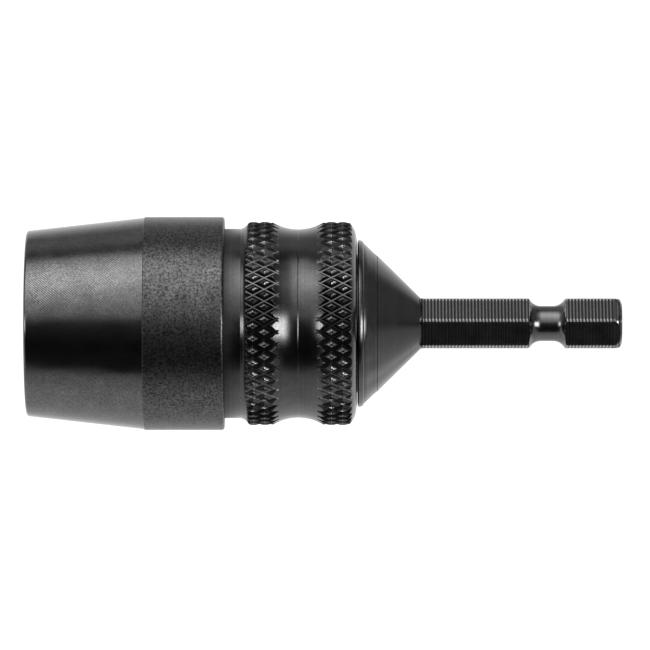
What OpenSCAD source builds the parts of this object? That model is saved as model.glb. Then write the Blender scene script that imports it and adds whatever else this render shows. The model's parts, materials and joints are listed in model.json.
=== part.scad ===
// Keyless three-jaw drill chuck on a hexagonal power shank.
// Lengths are in millimetres. Stations run along the axis, from 0 at the front sleeve's nose face
// to the end of the shank. The finished model lies along X with the shank to +X, and its origin is
// on the axis at the middle of the shank's detent groove.

/* [Front sleeve] */
// Diameter of the sleeve's plain cylinder
sleeve_d = 28.2; // [28.2:0.1:29]
// Diameter of the sleeve at its nose face
nose_d = 24.6; // [23.6:0.1:26]
// Length of the tapered part of the sleeve
taper_len = 15.6; // [14:0.1:16.5]
// Length of the whole sleeve
sleeve_len = 26.2; // [26:0.1:26.6]

/* [Rear collar] */
// Diameter over the knurled bands
knurl_d = 26.94; // [26.8:0.02:27.2]
// Diameter of the plain neck behind the sleeve
neck_d = 25.08; // [25:0.02:25.2]
// Smallest diameter of the waist between the knurled bands
waist_d = 24.96; // [24.6:0.02:25.2]
// Radius of the waist's hollow
waist_arc_r = 5.7; // [5.5:0.1:6]

/* [Jaws] */
// Diameter of one round jaw
jaw_d = 4.6; // [4.5:0.05:4.6]
// Length of one jaw
jaw_len = 18; // [17.5:0.1:18]
// Angle between a jaw and the chuck's axis
jaw_angle = 16; // [15.5:0.1:16]
// Diameter of the bit that the jaws hold as drawn
grip_d = 3.2; // [3:0.1:3.4]
// Travel of a jaw for one turn of the sleeve
thread_pitch = 1.5875; // [1.5:0.0125:1.6]
// Turns of the sleeve from the drawn pose until the jaws are shut
turns_to_shut = 2.5; // [2.25:0.05:2.5]
// Turns of the sleeve from the drawn pose until the jaws are fully open
turns_to_open = 3.75; // [3.5:0.05:3.75]

/* [Thrust bearing] */
// Diameter of one ball
ball_d = 1.588; // [1.5:0.004:1.588]
// Number of balls
ball_count = 12; // [8:1:16]

/* [Hexagonal shank] */
// Width of the hexagon across its flats
hex_flats = 6.35; // [6:0.05:6.5]
// Length of the shank's plain hexagon and groove
shank_len = 26.6; // [26:0.1:27]
// Diameter at the bottom of the detent groove
groove_d = 4.66; // [4.4:0.02:4.8]
// Width of the groove's flat bottom
groove_flat = 1.6; // [1.4:0.1:1.8]
// Radius of the hollow at each end of the groove
groove_end_r = 1.7; // [1.6:0.1:1.8]

/* [Hidden] */
$fn = 96;
steel_dark = "#34373a";
steel_grey = "#54585c";
steel_bright = "#9aa0a5";
run = 0.05;              // radial running clearance
gap = 0.02;              // clearance between faces that meet

// Body, by station
body_front = 0.3;
nose_seat_r = 9.5;
nut_front = 9.5;
nut_back = 14.1;
bearing_seat_r = 10.25;
flange_r = 12.4;
flange_back = 23.6;
body_rear_r = 10.8;
web_front = 26;
web_back = 30;
body_back = 41;
throat_r = 3.6;
mouth_r = 4.7;
mouth_depth = 1.2;
thread_r = 4.8;
screw_r = 2;

// Jaws
jaw_r = jaw_d / 2;
grip_r = grip_d / 2;
grip_len = 6.5;                              // a jaw's gripping face runs out here
slope = tan(jaw_angle);
jaw_half_w = jaw_r / cos(jaw_angle);         // half a jaw's height across the chuck's axis
tip_rho = grip_r + jaw_half_w - grip_len * slope;
slide_shut = turns_to_shut * thread_pitch;
slide_open = turns_to_open * thread_pitch;
wedge_apex = slide_shut * sin(jaw_angle);    // the jaws' side faces meet here when shut
wedge_gap = 0.1;
tooth_depth = 0.6;
tooth_half_w = 0.46;
first_tooth = 3.9;
tooth_count = floor((jaw_len - first_tooth - 0.6) / thread_pitch);
groove_depth = 0.85;                         // how far the jaws' teeth stand out of the nut groove

// Distance of a jaw's outer side, and of the nut groove's floor, from the axis at a station
function jaw_outside(s) = tip_rho + (s - body_front) * slope + jaw_half_w;
function nut_floor(s) = jaw_outside(s) - groove_depth;
function nut_bore(s) = jaw_outside(s) + run;

// Thrust bearing, by station
nut_r = 10.9;
band_r = 11.9;
race_t = 0.7;
race_in_r = bearing_seat_r + run;
race_out_r = 12.4;
front_race_s = nut_back + 0.05;
ball_s = front_race_s + race_t + ball_d / 2 + 0.01;
ball_pitch_r = 11.35;
rear_race_s = ball_s + ball_d / 2 + 0.01;
flange_front = rear_race_s + race_t + gap;
cage_t = 0.8;
cage_in_r = 10.4;
cage_out_r = 12.3;

// Rear end, by station
collar_front = 23.62;
neck_back = 28.4;
band1_front = 29.5;
waist_s = 35.95;
collar_back = 43.7;
hub_r = 9.15;
rim_front = 43.85;
rim_back = 44.5;
rim_r = 11.06;
cone_joint = 46.4;       // the clamp ring ends here and the adapter's own cone goes on
seat_r = 7;
cone_back = 52.2;
cone_end = cone_back - 0.4;  // the cone stops here, a little outside the hexagon's corners
shank_back = cone_back + shank_len;
groove_s = 68.9;
spigot_r = 4.76;
hex_corner_r = hex_flats / sqrt(3);
end_round_r = 1.2;

ball_names = [for (i = [1:ball_count]) str("ball_", i < 10 ? "0" : "", i)];
jaw_names = [for (k = [1:3]) str("jaw_", k)];

// Lays the model along X with the detent groove at the origin
module along_x() {
  rotate([0, 90, 0]) translate([0, 0, -groove_s]) children();
}

// A round shape turned from a half section of [radius, station] points
module turned(section) {
  rotate_extrude() polygon(section);
}

// A plain ring between two stations
module ring(inner_r, outer_r, from, to) {
  turned([[inner_r, from], [outer_r, from], [outer_r, to], [inner_r, to]]);
}

// Puts a shape that is drawn up Z onto a jaw's inclined axis, with Z = 0 at the jaw's tip
module on_jaw_axis() {
  translate([tip_rho, 0, body_front]) rotate([0, jaw_angle, 0]) children();
}

// Turns a shape to the place of jaw k
module jaw_place(k) {
  rotate([0, 0, 180 + 120 * k]) children();
}

// Tapered grip sleeve, a shell that is pressed over the nut band
module front_sleeve() {
  corner = 0.45;
  nose_r = nose_d / 2;
  color(steel_dark) along_x() turned(concat(
    [for (a = [0:22.5:90]) [nose_r - corner + corner * sin(a), corner - corner * cos(a)]],
    [[sleeve_d / 2 - 0.09, taper_len], [sleeve_d / 2, taper_len + 0.1], [sleeve_d / 2, sleeve_len - 0.35],
     [sleeve_d / 2 - 0.3, sleeve_len], [flange_r + 0.3, sleeve_len], [flange_r + 0.3, flange_front + 0.1],
     [race_out_r + run, flange_front + 0.1], [race_out_r + run, nut_back + gap], [band_r + gap, nut_back + gap],
     [band_r + gap, nut_front - 0.45], [nose_seat_r + 0.08, nut_front - 0.45], [nose_seat_r + 0.08, 0.5],
     [nose_seat_r + 0.58, 0]]));
}

// Rear grip collar, pressed over the back of the body
module knurled_collar() {
  neck_r = neck_d / 2;
  crest_r = knurl_d / 2;
  waist_r = waist_d / 2;
  inner_r = body_rear_r + gap;
  color(steel_dark) along_x() rotate_extrude() difference() {
    polygon([
      [inner_r, collar_front], [neck_r, collar_front], [neck_r, neck_back], [neck_r + 0.1, neck_back + 0.45],
      [neck_r + 0.45, neck_back + 0.8], [crest_r, band1_front + 0.1], [crest_r, 42.6], [crest_r - 0.25, 42.85],
      [crest_r - 0.8, 43.25], [crest_r - 1.4, 43.5], [crest_r - 2.6, collar_back], [hub_r + gap, collar_back],
      [hub_r + gap, body_back + gap], [inner_r, body_back + gap]]);
    translate([waist_r + waist_arc_r, waist_s]) circle(r = waist_arc_r);
  }
}

// Rim and front half of the cone, held between the collar and the adapter
module clamp_ring() {
  edge = 0.12;
  color(steel_grey) along_x() turned([
    [seat_r + gap, body_back + gap], [hub_r, body_back + gap], [hub_r, rim_front], [rim_r - edge, rim_front],
    [rim_r, rim_front + edge], [rim_r, rim_back - edge], [rim_r - edge, rim_back], [10.6, rim_back + 0.15],
    [9.35, 46], [9.05, cone_joint], [seat_r + gap, cone_joint]]);
}

// Spigot, seat, cone and hexagonal shank, all one piece
module shank_adapter() {
  color(steel_grey) along_x() difference() {
    union() {
      turned([
        [0, web_back + 0.2], [spigot_r, web_back + 0.2], [spigot_r, body_back + gap], [seat_r, body_back + gap],
        [seat_r, cone_joint + gap], [9, cone_joint + gap], [hex_corner_r + 0.05, cone_end], [0, cone_end]]);
      rotate([0, 0, 30]) translate([0, 0, cone_joint + 1])
        cylinder(r = hex_corner_r, h = shank_back - cone_joint - 1, $fn = 6);
    }
    // Rounded back edge, which meets the corners and the end face at a slight angle
    rotate_extrude() translate([hex_corner_r - end_round_r + 0.03, shank_back - end_round_r + 0.03])
      difference() {
        square(end_round_r + 1);
        circle(r = end_round_r);
      }
    // Detent groove: a flat bottom with a hollow at each end
    rotate_extrude() difference() {
      translate([groove_d / 2, groove_s - groove_flat / 2 - groove_end_r])
        square([hex_corner_r, groove_flat + 2 * groove_end_r]);
      for (side = [-1, 1])
        translate([groove_d / 2, groove_s + side * (groove_flat / 2 + groove_end_r)])
          difference() {
            translate([-groove_end_r, -groove_end_r]) square(2 * groove_end_r);
            translate([groove_end_r, -side * groove_end_r]) circle(r = groove_end_r);
          }
    }
    // Hole for the retention screw
    translate([0, 0, web_back]) cylinder(r = screw_r, h = 9);
  }
}

// Left-hand screw with a socket head, down the throat and into the adapter
module retention_screw() {
  head_r = 3.2;
  head_len = 2.2;
  color(steel_bright) along_x() difference() {
    union() {
      translate([0, 0, web_front - head_len]) cylinder(r = head_r, h = head_len);
      translate([0, 0, web_front]) cylinder(r = screw_r - gap, h = 11.5);
    }
    translate([0, 0, web_front - head_len - 1]) cylinder(r = 1.45, h = 2.4, $fn = 6);
  }
}

// Core of the chuck, which everything else is carried on
module chuck_body() {
  color(steel_grey) along_x() difference() {
    turned([
      [0, body_front], [nose_seat_r - 0.3, body_front], [nose_seat_r, body_front + 0.3],
      [nose_seat_r, nut_front - 0.1], [nut_floor(nut_front - 0.1), nut_front - 0.1],
      [nut_floor(nut_back + 0.4), nut_back + 0.4], [bearing_seat_r, nut_back + 0.4],
      [bearing_seat_r, flange_front], [flange_r, flange_front], [flange_r, flange_back],
      [body_rear_r, flange_back], [body_rear_r, body_back], [0, body_back]]);
    translate([0, 0, -1]) cylinder(r = throat_r, h = web_front + 1);
    turned([[0, -1], [mouth_r + 1, -1], [mouth_r, body_front], [throat_r, body_front + mouth_depth],
      [0, body_front + mouth_depth]]);
    translate([0, 0, web_front - 1]) cylinder(r = screw_r + 0.1, h = 6);
    translate([0, 0, web_back]) cylinder(r = thread_r, h = body_back);
    for (k = [0:2]) jaw_place(k) on_jaw_axis()
      translate([0, 0, -6]) cylinder(r = jaw_r + run, h = jaw_len + slide_open + 6.3);
  }
}

// One tooth space of a jaw's rack, a notch of triangular section across the jaw's outer side
module tooth_space() {
  rotate([90, 0, 0]) linear_extrude(jaw_d, center = true)
    polygon([[jaw_r - tooth_depth, 0], [jaw_r + 0.3, -tooth_half_w * 1.5], [jaw_r + 0.3, tooth_half_w * 1.5]]);
}

// Jaw k: a round rod with a hollow gripping face, two side faces that meet its neighbours when shut,
// a bevelled tip, and thread teeth that start a third of a pitch later on each jaw
module jaw(k) {
  side = (jaw_outside(jaw_len) + 2 - wedge_apex) * tan(60) - wedge_gap;
  color(steel_bright) along_x() jaw_place(k) intersection() {
    difference() {
      on_jaw_axis() translate([0, 0, -3]) cylinder(r = jaw_r, h = jaw_len + 3);
      translate([0, 0, -5]) cylinder(r = grip_r, h = jaw_len + 5);
      on_jaw_axis() for (i = [0:tooth_count - 1])
        translate([0, 0, first_tooth + (i + k / 3) * thread_pitch]) tooth_space();
    }
    translate([0, 0, body_front]) linear_extrude(jaw_len + 2) polygon([
      [wedge_apex + wedge_gap / tan(60), 0], [jaw_outside(jaw_len) + 2, -side], [jaw_outside(jaw_len) + 2, side]]);
    turned([[0, body_front], [3.3, body_front], [3.3 + 1.9, body_front + 2.1], [14, body_front + 2.2],
      [14, jaw_len + 2], [0, jaw_len + 2]]);
  }
}

// Half of the split nut; its conical bore carries the thread that drives the jaws' teeth
module nut_half(turn) {
  color(steel_bright) along_x() rotate([0, 0, turn]) difference() {
    turned([[nut_bore(nut_front), nut_front], [nut_r, nut_front], [nut_r, nut_back],
      [nut_bore(nut_back), nut_back]]);
    translate([-nut_r - 1, -2 * nut_r + gap, nut_front - 1]) cube([2 * nut_r + 2, 2 * nut_r, nut_back]);
  }
}
module nut_half_a() { nut_half(0); }
module nut_half_b() { nut_half(180); }

// Ring that holds the two nut halves together and drives them from the sleeve
module nut_band() {
  color(steel_grey) along_x() ring(nut_r + gap, band_r, nut_front - 0.4, nut_back);
}

// Thrust washers on each side of the balls
module front_race() {
  color(steel_bright) along_x() ring(race_in_r, race_out_r, front_race_s, front_race_s + race_t);
}
module rear_race() {
  color(steel_bright) along_x() ring(race_in_r, race_out_r, rear_race_s, rear_race_s + race_t);
}

// Flat cage with a round pocket for each ball
module ball_cage() {
  color("#2c2c2e") along_x() difference() {
    ring(cage_in_r, cage_out_r, ball_s - cage_t / 2, ball_s + cage_t / 2);
    for (i = [0:ball_count - 1]) rotate([0, 0, i * 360 / ball_count])
      translate([ball_pitch_r, 0, ball_s - cage_t]) cylinder(r = ball_d / 2 + run, h = 2 * cage_t);
  }
}

// Ball number i of the thrust bearing
module ball(i) {
  color(steel_bright) along_x() rotate([0, 0, i * 360 / ball_count])
    translate([ball_pitch_r, 0, ball_s]) sphere(d = ball_d);
}

front_sleeve();
knurled_collar();
clamp_ring();
shank_adapter();
retention_screw();
chuck_body();
for (k = [0:2]) jaw(k);
nut_half_a();
nut_half_b();
nut_band();
front_race();
ball_cage();
rear_race();
for (i = [0:ball_count - 1]) ball(i);
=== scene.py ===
import json
import math

import bpy
import numpy as np
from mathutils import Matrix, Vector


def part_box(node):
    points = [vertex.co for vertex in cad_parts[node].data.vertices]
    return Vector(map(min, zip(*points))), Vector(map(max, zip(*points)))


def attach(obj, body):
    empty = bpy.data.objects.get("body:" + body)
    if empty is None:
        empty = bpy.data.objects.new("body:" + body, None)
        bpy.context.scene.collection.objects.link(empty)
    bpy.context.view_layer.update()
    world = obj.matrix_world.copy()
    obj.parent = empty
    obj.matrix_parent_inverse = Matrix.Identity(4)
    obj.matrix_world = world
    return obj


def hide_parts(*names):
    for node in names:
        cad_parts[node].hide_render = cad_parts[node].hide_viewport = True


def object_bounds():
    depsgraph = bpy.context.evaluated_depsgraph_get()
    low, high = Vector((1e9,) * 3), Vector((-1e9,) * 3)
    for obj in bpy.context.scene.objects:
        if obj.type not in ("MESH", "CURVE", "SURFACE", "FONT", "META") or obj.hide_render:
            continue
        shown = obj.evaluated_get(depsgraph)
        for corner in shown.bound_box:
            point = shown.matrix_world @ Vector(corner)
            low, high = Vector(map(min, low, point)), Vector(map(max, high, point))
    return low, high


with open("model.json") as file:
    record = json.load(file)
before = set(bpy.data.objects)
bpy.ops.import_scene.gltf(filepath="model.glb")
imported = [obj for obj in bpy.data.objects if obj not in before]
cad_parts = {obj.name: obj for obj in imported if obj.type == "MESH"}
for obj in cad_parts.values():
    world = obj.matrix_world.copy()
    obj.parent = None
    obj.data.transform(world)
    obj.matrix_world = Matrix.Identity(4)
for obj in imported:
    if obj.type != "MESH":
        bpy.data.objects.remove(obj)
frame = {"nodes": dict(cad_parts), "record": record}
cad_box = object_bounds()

# ---------------------------------------------------------------- front sleeve
# The grip sleeve that the hand turns: a shell bored from bar steel, pressed on the split nut's band, with a
# tapered nose and a plain cylinder behind. The taper is finish turned and polished by hand, the cylinder is
# grit blasted for grip, and all of it is black oxide.
MM = 0.001
NOSE_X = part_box("front_sleeve")[0].x
SLEEVE_LEN = (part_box("front_sleeve")[1].x - NOSE_X) / MM
SLEEVE_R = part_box("front_sleeve")[1].z / MM
NOSE_R = 12.3
TAPER_LEN = 15.6
NOSE_ROUND = 0.45
NOSE_CHAMFER = 0.5
BACK_ROUND = 0.34
BACK_CHAMFER = 0.1
# the edge between taper and cylinder
EDGE_DROP = 0.09
EDGE_LEN = 0.06
# the bore's steps, from the nose: a radius, and the station where it ends
NOSE_BORE_R, NOSE_BORE_END = 9.58, 9.05
BAND_BORE_R, BAND_BORE_END = 11.92, 14.12
RACE_BORE_R, RACE_BORE_END = 12.45, 17.3
BACK_BORE_R = 12.7
# polishing strokes, drawn coarser than real so that they show
HATCH_PITCH = 0.37
HATCH_UM = 3
PATCH_MM = 5
SMOOTH_COLUMNS = 360


def arc(station, radius, size, start, end, steps):
    """Points (station + size cos a, radius + size sin a), with a stepped from start to end in degrees."""
    a = np.radians(np.linspace(start, end, steps + 1))
    return np.column_stack([station + size * np.cos(a), radius + size * np.sin(a)])


def filled(points, spacing):
    """The same outline with stretches divided equally, so that none is longer than spacing."""
    points = np.vstack([np.atleast_2d(p) for p in points])
    out = [points[:1]]
    for a, b in zip(points[:-1], points[1:]):
        n = max(1, math.ceil(np.hypot(*(b - a)) / spacing))
        out.append(a + (b - a) * np.linspace(0, 1, n + 1)[1:, None])
    return np.vstack(out)


def new_piece(name, verts, polygons, crease=28):
    """An object from vertices in metres and arrays of polygons, smooth but for edges over crease degrees."""
    mesh = bpy.data.meshes.new(name)
    corners = np.concatenate([p.ravel() for p in polygons]).astype(np.int32)
    sizes = np.concatenate([np.full(len(p), p.shape[1]) for p in polygons])
    mesh.vertices.add(len(verts))
    mesh.vertices.foreach_set("co", np.asarray(verts, np.float32).ravel())
    mesh.loops.add(len(corners))
    mesh.loops.foreach_set("vertex_index", corners)
    mesh.polygons.add(len(sizes))
    mesh.polygons.foreach_set("loop_start", (np.cumsum(sizes) - sizes).astype(np.int32))
    mesh.polygons.foreach_set("use_smooth", np.ones(len(sizes), bool))
    mesh.update(calc_edges=True)
    mesh.set_sharp_from_angle(angle=math.radians(crease))
    obj = bpy.data.objects.new(name, mesh)
    bpy.context.scene.collection.objects.link(obj)
    return obj


def round_piece(name, station, radius, angle, closed=True, slanted=None, crease=28):
    """A surface about the chuck's axis, at X = nose + station, Y = -radius cos(angle), Z = radius sin(angle).

    Rows follow the outline and columns go round. A closed outline joins its last row to its first, and an
    open one has a flat cap at each end. Where slanted is given, it says which diagonal cuts each cell.
    """
    station, radius, angle = np.broadcast_arrays(station, radius, angle)
    rows, cols = radius.shape
    across, up = -radius * np.cos(angle), radius * np.sin(angle)
    verts = np.stack([NOSE_X + station * MM, across * MM, up * MM], -1)
    i, j = np.meshgrid(np.arange(rows if closed else rows - 1), np.arange(cols), indexing="ij")
    nxt, side = (i + 1) % rows, (j + 1) % cols
    a, b, c, d = i * cols + j, nxt * cols + j, nxt * cols + side, i * cols + side
    if slanted is None:
        polygons = [np.stack([a, b, c, d], -1).reshape(-1, 4)]
    else:
        one = np.stack([a, b, c, a, c, d], -1)
        other = np.stack([a, b, d, b, c, d], -1)
        polygons = [np.where(slanted[: len(i), :, None], one, other).reshape(-1, 3)]
    if not closed:
        ends = np.arange(cols)
        polygons += [ends[None], (rows - 1) * cols + ends[None, ::-1]]
    return new_piece(name, verts.reshape(-1, 3), polygons, crease)


def turned_piece(name, outline, columns=SMOOTH_COLUMNS, **how):
    """A plain turned shape: every column repeats the outline of (station, radius) points."""
    angle = np.arange(columns) * 2 * np.pi / columns
    return round_piece(name, outline[:, :1], outline[:, 1:], angle[None], **how)


def linear(hex_colour):
    """An sRGB hex colour as the linear RGBA that shader sockets take."""
    v = np.array([int(hex_colour[k : k + 2], 16) for k in (1, 3, 5)]) / 255
    return (*np.where(v <= 0.04045, v / 12.92, ((v + 0.055) / 1.055) ** 2.4), 1.0)


def add(tree, kind, inputs=(), out=0, **settings):
    """Adds a shader node with its settings, gives its inputs values or links, and returns an output."""
    node = tree.nodes.new("ShaderNode" + kind)
    for key, value in settings.items():
        setattr(node, key, value)
    for key, value in inputs.items() if isinstance(inputs, dict) else enumerate(inputs):
        if isinstance(value, bpy.types.NodeSocket):
            tree.links.new(value, node.inputs[key])
        else:
            node.inputs[key].default_value = value
    return node.outputs[out] if node.outputs else None


def steel_finish(name, dark, light, rough, mottle_mm, grain_mm, grain_um, grain_tone=0.0, turning_mm=0.3,
                 turning_um=0.0, hatch=False, blasted=None, wear_and_shade=None):
    """Steel whose colour and gloss drift over mottle_mm, with a fine grain in its tone and its bump.

    Turning adds rings round the axis, of a pitch and a height. hatch adds slanting polishing strokes on the
    taper, and makes all behind it blasted instead, with its own tones, roughness and grit. The last argument
    gives two colours, for where the piece's own attribute of that name is 0, painted shade, and 1, bright with
    wear.
    """
    mat = bpy.data.materials.new(name)
    mat.use_nodes = True
    t = mat.node_tree
    t.nodes.clear()
    place = add(t, "TexCoord", out="Object")
    along, across, up = add(t, "SeparateXYZ", (place,)).node.outputs
    pattern = {"Vector": place, "Roughness": 0.6}
    clouds = add(t, "TexNoise", {**pattern, "Scale": 1 / (mottle_mm * MM), "Detail": 4.0})
    grain = add(t, "TexNoise", {**pattern, "Scale": 1 / (grain_mm * MM), "Detail": 2.0})
    drift = add(t, "MapRange", (clouds, 0.35, 0.65, 0.0, 1.0))
    colour = add(t, "Mix", {0: drift, 6: linear(dark), 7: linear(light)}, out=2, data_type="RGBA")
    tone = add(t, "MapRange", (grain, 0.3, 0.7, 1 - grain_tone, 1 + grain_tone))
    gloss = add(t, "MapRange", (clouds, 0.3, 0.7, *rough))
    height = add(t, "Math", (grain, grain_um * 1e-6), operation="MULTIPLY")
    if turning_um:
        # rings left by the turning tool, each pass a little different from the last
        passes = add(t, "Math", (along, 1 / (turning_mm * MM)), operation="MULTIPLY")
        rings = add(t, "TexNoise", {"W": passes, "Scale": 1.0, "Detail": 2.0}, noise_dimensions="1D")
        height = add(t, "Math", (rings, turning_um * 1e-6, height), operation="MULTIPLY_ADD")
        ring_tone = add(t, "MapRange", (rings, 0.3, 0.7, 0.88, 1.12))
        tone = add(t, "Math", (tone, ring_tone), operation="MULTIPLY")
    if hatch:
        # strokes run at about 45 degrees to the axis, in strong and faint patches, and fade backwards
        toward = add(t, "Math", (across, -1.0), operation="MULTIPLY")
        turn = add(t, "Math", (up, toward), operation="ARCTAN2")
        slant = add(t, "Math", (turn, SLEEVE_R * MM, along), operation="MULTIPLY_ADD")
        phase = add(t, "Math", (slant, 2 * math.pi / (HATCH_PITCH * MM)), operation="MULTIPLY")
        wave = add(t, "Math", (grain, 0.9, phase), operation="MULTIPLY_ADD")
        near = add(t, "MapRange", (along, NOSE_X, NOSE_X + TAPER_LEN * MM, 1.0, 0.5))
        patches = add(t, "TexNoise", {**pattern, "Scale": 1 / (PATCH_MM * MM), "Detail": 1.0})
        patchy = add(t, "MapRange", (patches, 0.35, 0.6, 0.25, 1.0))
        strength = add(t, "Math", (near, patchy), operation="MULTIPLY")
        off_face = add(t, "Math", (along, NOSE_X + 0.3 * MM), operation="GREATER_THAN")
        strength = add(t, "Math", (strength, off_face), operation="MULTIPLY")
        stroke = add(t, "Math", (add(t, "Math", (wave,), operation="SINE"), strength), operation="MULTIPLY")
        height = add(t, "Math", (stroke, HATCH_UM * 1e-6, height), operation="MULTIPLY_ADD")
        tone = add(t, "Math", (stroke, 0.5, tone), operation="MULTIPLY_ADD")
        behind = add(t, "Math", (along, NOSE_X + TAPER_LEN * MM), operation="GREATER_THAN")
        grit = add(t, "TexNoise", {**pattern, "Scale": 1 / (blasted["grain_mm"] * MM), "Detail": 1.5})
        grit_height = add(t, "Math", (grit, blasted["grain_um"] * 1e-6), operation="MULTIPLY")
        grit_tone = add(t, "MapRange", (grit, 0.32, 0.68, *blasted["tone"]))
        height = add(t, "Mix", {0: behind, 2: height, 3: grit_height})
        gloss = add(t, "Mix", {0: behind, 2: gloss, 3: blasted["rough"]})
        tone = add(t, "Mix", {0: behind, 2: tone, 3: grit_tone})
    tint = add(t, "CombineColor", (tone, tone, tone))
    colour = add(t, "Mix", {0: 1.0, 6: colour, 7: tint}, out=2, data_type="RGBA", blend_type="MULTIPLY")
    if wear_and_shade:
        # the mark's low end mixes in the first colour, painted shade, and its high end the second, bright wear
        mark = add(t, "Attribute", out="Fac", attribute_name="wear_and_shade")
        duller = add(t, "MapRange", (mark, 0.38, 0.5, 2.0, 1.0))
        gloss = add(t, "Math", (gloss, duller), operation="MULTIPLY")
        out_of_painted_shade = add(t, "MapRange", (mark, 0.0, 0.5, 0.0, 1.0))
        colour = add(t, "Mix", {0: out_of_painted_shade, 6: linear(wear_and_shade[0]), 7: colour}, out=2, data_type="RGBA")
        worn = add(t, "MapRange", (mark, 0.5, 1.0, 0.0, 1.0))
        colour = add(t, "Mix", {0: worn, 6: colour, 7: linear(wear_and_shade[1])}, out=2, data_type="RGBA")
    bump = add(t, "Bump", {"Height": height, "Strength": 1.0, "Distance": 1.0})
    shader = add(t, "BsdfPrincipled", {
        "Base Color": colour, "Metallic": 1.0, "Roughness": gloss, "Normal": bump})
    add(t, "OutputMaterial", {"Surface": shader})
    return mat


sleeve = turned_piece("front_sleeve_shell", filled([
    (0, NOSE_BORE_R + NOSE_CHAMFER),
    *arc(NOSE_ROUND, NOSE_R - NOSE_ROUND, NOSE_ROUND, 180, 97, 8),
    (TAPER_LEN, SLEEVE_R - EDGE_DROP), (TAPER_LEN + EDGE_LEN, SLEEVE_R),
    *arc(SLEEVE_LEN - BACK_ROUND, SLEEVE_R - BACK_ROUND, BACK_ROUND, 90, 0, 8),
    (SLEEVE_LEN, BACK_BORE_R + BACK_CHAMFER), (SLEEVE_LEN - BACK_CHAMFER, BACK_BORE_R),
    (RACE_BORE_END, BACK_BORE_R), (RACE_BORE_END, RACE_BORE_R), (BAND_BORE_END, RACE_BORE_R),
    (BAND_BORE_END, BAND_BORE_R), (NOSE_BORE_END, BAND_BORE_R), (NOSE_BORE_END, NOSE_BORE_R),
    (NOSE_CHAMFER, NOSE_BORE_R)], 1.2))
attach(sleeve, "sleeve_unit")
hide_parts("front_sleeve")
# Black oxide is a thin dark skin: polished it mirrors the lights softly, and blasted it is dull and speckled.
# Grain of about 0.15 mm is drawn at 0.2 mm and the grit at 0.27 mm, so that they show at all.
sleeve.data.materials.append(steel_finish(
    "black_oxide_steel_polished", "#545454", "#5e5e5e", (0.14, 0.18), 2.2, 0.2, 5, grain_tone=0.42,
    hatch=True, blasted={"grain_mm": 0.27, "grain_um": 17, "rough": 0.34, "tone": (0.25, 1.15)}))

# ---------------------------------------------------------------- rear collar
# The rear grip, of black oxide steel, pressed on the body: a plain neck, two bands of rolled diamond knurl,
# and a waist turned between them after rolling, so that the hollow cuts the diamonds off in a zigzag. It is made
# here as two meshes that meet at the fine line round the waist, because one would have too many triangles.
BODY_R = 10.82
BODY_BACK = 41.02
BACK_HOLE_R = 9.17
NECK_R = 12.54
NECK_BACK = 28.4
CREST_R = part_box("knurled_collar")[1].z / MM
COLLAR_FRONT = (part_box("knurled_collar")[0].x - NOSE_X) / MM
COLLAR_BACK = (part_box("knurled_collar")[1].x - NOSE_X) / MM
WAIST_STATION = 35.95
HALVES_MEET = WAIST_STATION + 0.05
WAIST_R = 12.48
WAIST_ARC = 6.5
# depth and width of the fine line turned round the waist
LINE_DEPTH = 0.035
LINE_WIDTH = 0.05
DIAMONDS = 50
DIAMOND_LEN = 3.0
DIAMOND_DEPTH = 0.5
CELL_STEPS = 22
# the hollow flare from the neck up to the first band, as steps along and out
FLARE_ALONG = np.array([0, 0.05, 0.4, 0.8, 1.1])
FLARE_OUT = np.array([0, 0.03, 0.18, 0.48, 0.95])
# the back shoulder's stations, and how far it has dropped below the crests at each and at the collar's end
SHOULDER = [42.6, 42.85, 43.1, 43.25, 43.4, 43.55, COLLAR_BACK]
SHOULDER_DROP = np.array([0, 0.2, 0.55, 0.8, 1.05, 1.4, 2.3])
# a radius beyond the collar, for where a cut doesn't reach it
CLEAR = 99


def turned_radius(s):
    """Radius of the collar as turned at each station: the least of its cuts, less the waist's fine line.

    The waist is an arc of radius WAIST_ARC whose lowest point is WAIST_R from the axis.
    """
    waist = WAIST_R + WAIST_ARC - np.sqrt(np.maximum(WAIST_ARC**2 - (s - WAIST_STATION) ** 2, 0))
    waist = np.where(np.abs(s - WAIST_STATION) < WAIST_ARC, waist, CLEAR)
    flare = np.interp(s, NECK_BACK + FLARE_ALONG, NECK_R + FLARE_OUT)
    flare = np.where(s > NECK_BACK + FLARE_ALONG[-1], CLEAR, flare)
    neck = np.where(s < NECK_BACK, NECK_R, CLEAR)
    shoulder = np.interp(s, SHOULDER, CREST_R - SHOULDER_DROP)
    line = LINE_DEPTH * np.exp(-(((s - HALVES_MEET) / LINE_WIDTH) ** 2))
    return np.minimum.reduce([waist, neck, flare, shoulder]) - line


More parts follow.
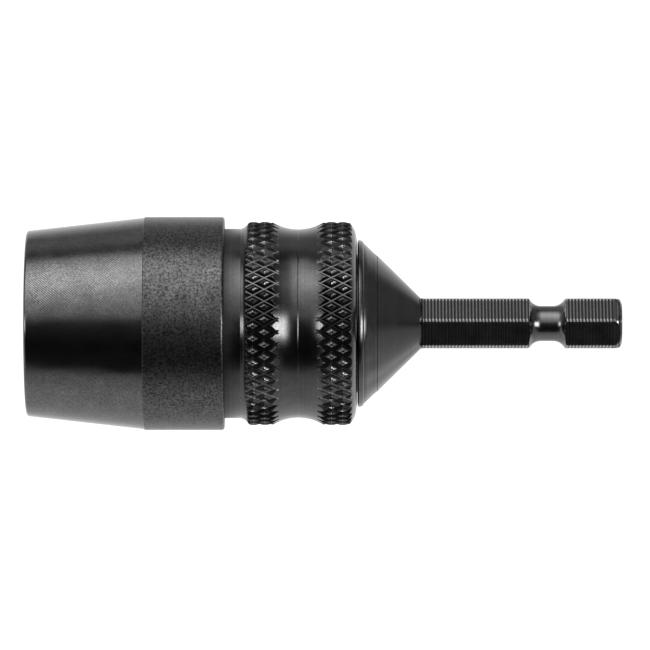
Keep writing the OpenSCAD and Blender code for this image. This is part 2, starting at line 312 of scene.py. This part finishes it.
def knurl(s, angle, crossing_s, crossing_deg):
    """Rolled diamond knurl: two sets of helical grooves crossing at a given place, pyramids between them.

    Each set's distance from its nearest groove goes from 0 to 1, and the lower of the two sets the height:
    a flat bottom, a steep flank, a shallow crown, and a pit at the tip where the metal didn't quite meet.
    Also gives a mark for painted shade and wear, near 0 on the flanks and in the tip's pit, painted shade, to
    0.7 on the four ridges of the crown, rubbed bright by wear; and where the first set of grooves is the nearer.
    """
    around = (np.degrees(angle) - crossing_deg) * DIAMONDS / 360
    lengthwise = (s - crossing_s) / DIAMOND_LEN
    set_a, set_b = (1 - np.abs(2 * np.mod(p, 1) - 1) for p in (around + lengthwise, around - lengthwise))
    rise = np.minimum(set_a, set_b)
    height = np.interp(rise, [0.1, 0.5, 0.84, 1], [0, 0.72, 1, 0.5])
    ridge = np.exp(-(((set_a - set_b) / 0.14) ** 2)) * np.interp(rise, [0.5, 0.7, 0.86, 0.95], [0, 1, 1, 0])
    # painted shade: the flanks and the tip's pit near black, the crown a little dark, the groove bottoms
    # ordinary
    wear_and_shade = np.interp(rise, [0.1, 0.16, 0.42, 0.6, 0.84, 0.96], [0.52, 0.05, 0.05, 0.38, 0.42, 0.05])
    wear_and_shade = wear_and_shade + 0.3 * ridge
    return CREST_R - DIAMOND_DEPTH * (1 - height), wear_and_shade, set_a < set_b


def mark_wear_and_shade(piece, amount):
    """Stores each vertex's mark for the material: 0 painted shade, 0.5 ordinary, 1 bright with wear."""
    marks = piece.data.attributes.new("wear_and_shade", "FLOAT", "POINT")
    marks.data.foreach_set("value", amount.astype(np.float32).ravel())


def knurled_piece(name, start, end, crossing_s, crossing_deg, inside):
    """Half of the collar, from station start to end outside, closed by the given outline inside."""
    step = DIAMOND_LEN / CELL_STEPS
    first = crossing_s + step * math.ceil((start - crossing_s) / step + 0.2)
    s = np.concatenate([[start], np.arange(first, end - 0.2 * step, step), [end]])
    if start < NECK_BACK:
        # the plain neck needs few rows, close together only where the flare leaves it
        edges = [start, start + 2.0, NECK_BACK - 0.8, NECK_BACK - 0.06, NECK_BACK, NECK_BACK + 0.08]
        s = np.concatenate([edges, s[s > NECK_BACK + 0.12]])
    columns = DIAMONDS * CELL_STEPS
    angle = np.radians(crossing_deg) + np.arange(columns) * 2 * np.pi / columns
    grid_s, grid_a = np.meshgrid(s, angle, indexing="ij")
    rolled, wear_and_shade, _ = knurl(grid_s, grid_a, crossing_s, crossing_deg)
    turned = turned_radius(grid_s)
    radius = np.minimum(turned, rolled)
    # painted shadow: the neck is painted darker towards the sleeve, where the sleeve's shade falls on it
    plain = np.interp(grid_s, [26.2, 27.5, NECK_BACK], [0.3, 0.44, 0.5])
    wear_and_shade = np.where(rolled < turned, wear_and_shade, plain)
    inner = np.asarray(inside)
    around = np.ones_like(angle)[None]
    station = np.vstack([grid_s, inner[:, :1] * around])
    radius = np.vstack([radius, inner[:, 1:] * around])
    # a cell is cut along whichever set of grooves is nearer, so that each groove and ridge is a straight fold
    mid_s = (station + np.roll(station, -1, 0)) / 2
    mid_a = angle[None] + (angle[1] - angle[0]) / 2
    near_a = knurl(mid_s, mid_a, crossing_s, crossing_deg)[2]
    piece = round_piece(name, station, radius, angle[None], slanted=~near_a, crease=24)
    mark_wear_and_shade(piece, np.vstack([wear_and_shade, np.full((len(inner), len(angle)), 0.5)]))
    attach(piece, "chuck_core")
    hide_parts("knurled_collar")
    return piece


# Turned black oxide is satin, with faint rings. The diamonds' flanks are dull and painted nearly black as
# shade, handling rubs their ridges bright, and the groove bottoms stay satin.
# the first colour, #121212, is painted shade on the flanks, in the pits and on the neck by the sleeve; the
# second, #c4c4c4, is wear
collar_finish = steel_finish(
    "black_oxide_steel_turned", "#434343", "#4f4f4f", (0.17, 0.24), 3.5, 0.28, 3, grain_tone=0.14,
    turning_mm=0.16, turning_um=1.5, wear_and_shade=("#121212", "#c4c4c4"))
collar_front = knurled_piece("collar_front_band", COLLAR_FRONT, HALVES_MEET, 31.55, 0.6,
                             [(HALVES_MEET, BODY_R), (COLLAR_FRONT, BODY_R)])
collar_back = knurled_piece("collar_back_band", HALVES_MEET, COLLAR_BACK, 38.85, 4.4,
                            [(COLLAR_BACK, BACK_HOLE_R + 0.13), (COLLAR_BACK - 0.1, BACK_HOLE_R),
                             (BODY_BACK, BACK_HOLE_R), (BODY_BACK, BODY_R), (HALVES_MEET, BODY_R)])
for piece in (collar_front, collar_back):
    piece.data.materials.append(collar_finish)

# ---------------------------------------------------------------- clamp ring
# A turned ring that closes the back of the collar: a narrow rim with rounded edges, then the cone's start.
# The adapter's shoulder clamps it. Black oxide steel, fine turned.
RING_FRONT = (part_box("clamp_ring")[0].x - NOSE_X) / MM
RIM_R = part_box("clamp_ring")[1].z / MM
CONE_JOINT = (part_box("clamp_ring")[1].x - NOSE_X) / MM
RING_SPIGOT_R = 9.15
RING_BORE_R = 7.02
RIM_FRONT = 43.8
RIM_ROOT_R = 10.6
RIM_EDGE_R = 0.15
RIM_EDGE_END = 44.02
# the rim's back edge is nearly a quarter of an ellipse, RIM_BACK_LEN along and RIM_BACK_DROP down. It starts a
# little before the front edge's round ends, which leaves a fold of 0.06 mm lying flat on the rim.
RIM_BACK_START = 43.96
RIM_BACK_LEN = 0.65
RIM_BACK_DROP = 0.4

rim_back = arc(0, 0, 1, 90, 5, 10) * (RIM_BACK_LEN, RIM_BACK_DROP) + (RIM_BACK_START, RIM_R - RIM_BACK_DROP)
clamp_ring = turned_piece("clamp_ring_turned", filled([
    (RING_FRONT, RING_SPIGOT_R), (RIM_FRONT, RING_SPIGOT_R), (RIM_FRONT, RIM_ROOT_R),
    *arc(RIM_EDGE_END, RIM_R - RIM_EDGE_R, RIM_EDGE_R, 180, 90, 5), *rim_back,
    (44.62, 10.62), (44.68, RIM_ROOT_R), (46.0, 9.32), (CONE_JOINT - 0.05, 9.04), (CONE_JOINT, 8.98),
    (CONE_JOINT, RING_BORE_R), (RING_FRONT, RING_BORE_R)], 0.8))
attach(clamp_ring, "chuck_core")
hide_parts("clamp_ring")
# Satin black oxide over fine turning: a soft sheen with faint rings.
clamp_ring.data.materials.append(steel_finish(
    "black_oxide_steel_satin", "#4c4c4c", "#585858", (0.22, 0.28), 2.2, 0.24, 3, grain_tone=0.16,
    turning_mm=0.2, turning_um=1.5))

# ---------------------------------------------------------------- shank adapter
# Spigot, cone and quick-change shank, turned in one piece from steel bar and screwed into the body. The flats
# of the 6.35 mm hexagon keep fine ribs from their machining, and the detent groove and back edge are smooth.
SPIGOT_FRONT = (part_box("shank_adapter")[0].x - NOSE_X) / MM
SHANK_BACK = (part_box("shank_adapter")[1].x - NOSE_X) / MM
GROOVE_STATION = -NOSE_X / MM
FLATS = 6.35
CORNER_R = 3.61
CONE_END = 51.8
CONE_END_R = 3.74
CONE_SLOPE = 0.98
# past CONE_END the cone stands over the hexagon's flats for about this far
CONE_RUN_ON = 0.4
RIBS_START = 52.45
RIB_PITCH = 0.443
RIB_DEPTH = 0.03
GROOVE_R = 2.33
GROOVE_FLAT = 1.6
GROOVE_END_R = 1.7
FLAT_STEPS = 22
END_ROUND = 1.2
SPIGOT_R = 4.76
SHOULDER_R = 7.0

half_flat = FLATS / 2
corner = math.acos(half_flat / CORNER_R)
across_flat = np.arctan(np.linspace(-1, 1, FLAT_STEPS + 1) * math.tan(corner))
# flats face straight up and down, and one corner faces straight across
flat_middles = np.radians(30 + 60 * np.arange(6))
shank_angle = (flat_middles[:, None] + across_flat[None]).ravel()
from_middle = np.tile(across_flat, 6)

ribbed = np.arange(CONE_END, SHANK_BACK - END_ROUND, RIB_PITCH / 6)
end_arc = arc(SHANK_BACK - END_ROUND, CORNER_R - END_ROUND, END_ROUND, 90, 4, 9)
front_outline = filled([(SPIGOT_FRONT, 0.5), (SPIGOT_FRONT, 4.3), (SPIGOT_FRONT + 0.4, SPIGOT_R),
                        (BODY_BACK, SPIGOT_R), (BODY_BACK, SHOULDER_R),
                        (CONE_JOINT + 0.01, SHOULDER_R), (CONE_JOINT + 0.01, 8.94),
                        (CONE_JOINT + 0.05, 8.99), (CONE_END, CONE_END_R)], 0.9)
shank_s = np.concatenate([front_outline[:, 0], ribbed, end_arc[:, 0], [SHANK_BACK]])


def groove_radius(s):
    """Radius of the detent groove at each station: a flat bottom, then a quarter circle out at each end."""
    out = np.clip(np.abs(s - GROOVE_STATION) - GROOVE_FLAT / 2, 0, None)
    rise = GROOVE_END_R - np.sqrt(np.maximum(GROOVE_END_R**2 - out**2, 0))
    return np.where(out < GROOVE_END_R, GROOVE_R + rise, CLEAR)


ribs = (0.5 - 0.5 * np.cos(2 * np.pi * (shank_s - RIBS_START) / RIB_PITCH)) * (shank_s > RIBS_START)
hexagon = (half_flat - RIB_DEPTH * ribs[:, None]) / np.cos(from_middle)[None]
limit = np.concatenate([np.full(len(front_outline) + len(ribbed), CORNER_R), end_arc[:, 1], [0.5]])
hexagon = np.minimum(np.minimum(hexagon, limit[:, None]), groove_radius(shank_s)[:, None])
shank_radius = np.maximum(hexagon, CONE_END_R - (shank_s[:, None] - CONE_END) * CONE_SLOPE)
shank_radius[: len(front_outline)] = front_outline[:, 1:]
shank = round_piece("hex_shank_adapter", shank_s[:, None], shank_radius, shank_angle[None], closed=False,
                    crease=22)
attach(shank, "chuck_core")
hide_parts("shank_adapter")
# painted shade: the hollows between the ribs and the strip behind the cone are painted dark, and the corners are
# lighter
in_groove = groove_radius(shank_s)[:, None] < CORNER_R
tone = np.where(in_groove, 0.56, 0.55 - 0.46 * ribs[:, None])
tone = tone + 0.25 * np.exp(-(((np.abs(from_middle) - corner) / 0.05) ** 2))[None] * ~in_groove
# painted shade on the strip where the cone's step hides the flat
tone[(shank_s > CONE_END + CONE_RUN_ON) & (shank_s < RIBS_START)] = 0.08
tone[shank_s <= CONE_END + CONE_RUN_ON] = 0.55
# the flat end face is one even tone
tone[-2:] = 0.5
mark_wear_and_shade(shank, tone)
# Machined steel under black oxide: dull and painted dark as shade in the hollows (#0c0c0c), lighter at the
# corners, with each crest catching a line of light.
shank.data.materials.append(steel_finish(
    "black_oxide_steel_drawn", "#3e3e3e", "#464646", (0.2, 0.26), 2.2, 0.22, 3, grain_tone=0.16,
    turning_mm=0.2, turning_um=1.0, wear_and_shade=("#0c0c0c", "#bcbcbc")))

# ---------------------------------------------------------------- body, jaws and drive
# The parts inside: a machined and phosphated core, three hardened jaws with ground faces, a split nut and its
# band, a ball thrust bearing, and a plated screw. The nose of the core and the jaws show from the front.
inner_finishes = {
    # phosphate is a fine matt crystal coat, dark grey
    "body_steel": steel_finish("phosphated_steel", "#4c4c4c", "#5c5c5c", (0.38, 0.5), 3.0, 0.25, 7,
                             turning_mm=0.3, turning_um=3),
    # bare hardened steel, ground to a grey satin
    "jaw_steel": steel_finish("hardened_ground_steel", "#8c8c8c", "#a4a4a4", (0.24, 0.32), 2.5, 0.3, 3,
                            turning_mm=0.12, turning_um=1.5),
    # hardened and left as it is, so duller than ground steel
    "nut_steel": steel_finish("hardened_nut_steel", "#787878", "#8c8c8c", (0.3, 0.4), 3.0, 0.3, 4),
    # ground bearing steel is bright, and the balls are lapped to a mirror
    "race_steel": steel_finish("ground_bearing_steel", "#b4b4b4", "#c6c6c6", (0.14, 0.2), 4.0, 0.4, 1),
    "ball_steel": steel_finish("polished_bearing_steel", "#c9c9c9", "#d5d5d5", (0.06, 0.1), 2.0, 0.5, 0.3),
    # zinc plate is pale, bright and slightly clouded
    "screw_steel": steel_finish("zinc_plated_steel", "#a9abad", "#babcbe", (0.22, 0.3), 2.0, 0.25, 3),
}
# moulded nylon with glass in it: near black, and dull in fine patches
cage_finish = bpy.data.materials.new("glass_filled_nylon")
cage_finish.use_nodes = True
cage_tree = cage_finish.node_tree
cage_place = add(cage_tree, "TexCoord", out="Object")
cage_grain = add(cage_tree, "TexNoise", {"Vector": cage_place, "Scale": 1 / (0.4 * MM), "Detail": 2.0})
cage_gloss = add(cage_tree, "MapRange", {0: cage_grain, 3: 0.45, 4: 0.6})
cage_shader = cage_tree.nodes["Principled BSDF"]
cage_tree.links.new(cage_gloss, cage_shader.inputs["Roughness"])
cage_shader.inputs["Base Color"].default_value = linear("#242426")
inner_finishes["cage_plastic"] = cage_finish

for part in frame["record"]["subparts"]:
    finish = inner_finishes.get(part["material_slot"])
    if finish:
        mesh = frame["nodes"][part["node"]].data
        mesh.materials.clear()
        mesh.materials.append(finish)

# ---------------------------------------------------------------- floor, light and camera
# A pale floor far below the part, a white surround, strips of light round the chuck, and a panel at each end.
# Glossy surfaces don't show the floor, so that it doesn't light the chuck from below.
FLOOR_DROP = 1.1
FLOOR_HALF = 6.0
floor_corners = np.array([(-1, -1, 0), (1, -1, 0), (1, 1, 0), (-1, 1, 0)]) * FLOOR_HALF
floor = new_piece("floor", floor_corners - (0, 0, FLOOR_DROP), [np.array([[0, 1, 2, 3]])])
paper = bpy.data.materials.new("pale_paper")
paper.use_nodes = True
paper.node_tree.nodes["Principled BSDF"].inputs["Base Color"].default_value = linear("#f4f4f2")
paper.node_tree.nodes["Principled BSDF"].inputs["Roughness"].default_value = 0.9
floor.data.materials.append(paper)
floor.visible_glossy = False

world = bpy.data.worlds.new("studio")
bpy.context.scene.world = world
world.use_nodes = True
w = world.node_tree
w.nodes.clear()
# lift is a direction's angle round the chuck, from the camera's side upwards, and side its angle off square
along, back, up = add(w, "SeparateXYZ", (add(w, "TexCoord", out="Generated"),)).node.outputs
toward = add(w, "Math", (back, -1.0), operation="MULTIPLY")
lift = add(w, "Math", (add(w, "Math", (up, toward), operation="ARCTAN2"),), operation="DEGREES")
side = add(w, "Math", (add(w, "Math", (along,), operation="ARCSINE"),), operation="DEGREES")
# how far a direction points down and back, which is where the white sweep is
sweep = add(w, "Math", (back, up), operation="SUBTRACT")
# Round the chuck the light is a row of strips, each a lift with its brightness: dark card in front and below,
# a soft box above, a strip behind it, and the white sweep round the back.
STRIPS = [(-180, 1), (-150, 0.95), (-127, 1.12), (-95, 1.05), (-83, 0.85), (-72, 0.68), (-66, 0.5),
          (-62, 0.05), (-31, 0.015), (-8, 0.07), (-1, 0.12), (2, 0.75), (13, 1.15), (22, 1.7), (31, 2.1),
          (41, 3.1), (51, 3.3), (61, 3.0), (70, 2.1), (78, 1.4), (82, 0.28), (90, 0.25), (100, 0.55),
          (111, 0.52), (121, 0.4), (130, 0.66), (142, 0.95), (180, 1)]
BRIGHTEST = 3.4
turn_share = add(w, "MapRange", (lift, -180.0, 180.0))
ring = add(w, "ValToRGB", (turn_share,))
stops = ring.node.color_ramp.elements
for _ in STRIPS[2:]:
    stops.new(0.5)
for stop, (angle, level) in zip(stops, STRIPS):
    stop.position = (angle + 180) / 360
    stop.color = (level / BRIGHTEST,) * 3 + (1,)
round_light = add(w, "Math", (ring, BRIGHTEST), operation="MULTIPLY")


def window(value, edges):
    """1 between the two middle edges, fading smoothly to 0 at the outer ones."""
    start, full, fade, stop = edges
    rise = add(w, "MapRange", (value, start, full), interpolation_type="SMOOTHSTEP")
    fall = add(w, "MapRange", (value, fade, stop, 1.0, 0.0), interpolation_type="SMOOTHSTEP")
    return add(w, "Math", (rise, fall), operation="MULTIPLY")


# All strips end at the sides, and a flag shades the upper ones towards the shank. FLAG is what it takes away.
FLAG = 0.7
AMBIENT = 0.006
middle = window(side, (-62, -38, 26, 48))
flag_window = (window(side, (0, 24, 80, 90)), window(lift, (4, 16, 90, 110)))
flagged = add(w, "Math", flag_window, operation="MULTIPLY")
kept = add(w, "Math", (flagged, -FLAG, 1.0), operation="MULTIPLY_ADD")
round_light = add(w, "Math", (round_light, kept), operation="MULTIPLY")
total = add(w, "Math", (round_light, middle, AMBIENT), operation="MULTIPLY_ADD")
outside = add(w, "Math", (1.0, middle), operation="SUBTRACT")
# Each light is a brightness and two measures of the direction, each with its window's four edges. The side
# angle is negative at the nose. FAR and BEYOND leave a window open at its start and at its end.
FAR = (-999, -998)
BEYOND = (9, 10)
OUTSIDE = (0.1, 0.9, *BEYOND)
lights = [
    # panels by the shank and by the nose, and a soft light on the nose
    (13.0, lift, (-28, -19, -3, 9), side, (18, 34, 58, 74)),
    (9.0, lift, (-22, -14, -2, 8), side, (-68, -60, -50, -40)),
    (0.6, side, (*FAR, -66, -48), side, (*FAR, -66, -48)),
    # what the soft box spills past its ends
    (0.24, lift, (10, 60, 110, 140), outside, OUTSIDE),
    # the white sweep's near end, the sweep below and behind, and the backdrop
    (0.5, sweep, (-0.04, 0.18, *BEYOND), outside, OUTSIDE),
    (0.3, sweep, (0.2, 1.0, *BEYOND), outside, OUTSIDE),
    (0.8, back, (0.35, 0.75, *BEYOND), outside, OUTSIDE),
]
for level, first, first_edges, second, second_edges in lights:
    glow = add(w, "Math", (window(first, first_edges), window(second, second_edges)), operation="MULTIPLY")
    total = add(w, "Math", (glow, level, total), operation="MULTIPLY_ADD")
lit = add(w, "Background", {"Color": (1, 1, 1, 1), "Strength": total})
white = add(w, "Background", {"Color": (1, 1, 1, 1), "Strength": 1.15})
seen = add(w, "LightPath", out="Is Camera Ray")
add(w, "OutputWorld", {"Surface": add(w, "MixShader", (seen, lit, white))})
bpy.context.scene.view_settings.view_transform = "Standard"

# The camera looks square at the side of the chuck from a little below its axis, with a long lens.
CAMERA_DISTANCE = 0.93
CAMERA_LIFT = math.radians(-5.2)
FRAME_WIDTH = 0.0861
SENSOR_WIDTH = 36
# the frame's centre, off the middle of the box and off the axis
AIM_RIGHT = 0.0001
AIM_DOWN = 0.0002
camera_data = bpy.data.cameras.new("camera")
camera_data.sensor_width = SENSOR_WIDTH
camera_data.lens = SENSOR_WIDTH * CAMERA_DISTANCE / FRAME_WIDTH
camera_data.clip_start, camera_data.clip_end = 0.01, 50
camera = bpy.data.objects.new("camera", camera_data)
bpy.context.scene.collection.objects.link(camera)
camera.location = ((cad_box[0][0] + cad_box[1][0]) / 2 + AIM_RIGHT, -CAMERA_DISTANCE * math.cos(CAMERA_LIFT),
                   CAMERA_DISTANCE * math.sin(CAMERA_LIFT) - AIM_DOWN)
camera.rotation_euler = (math.radians(90) - CAMERA_LIFT, 0, 0)
bpy.context.scene.camera = camera
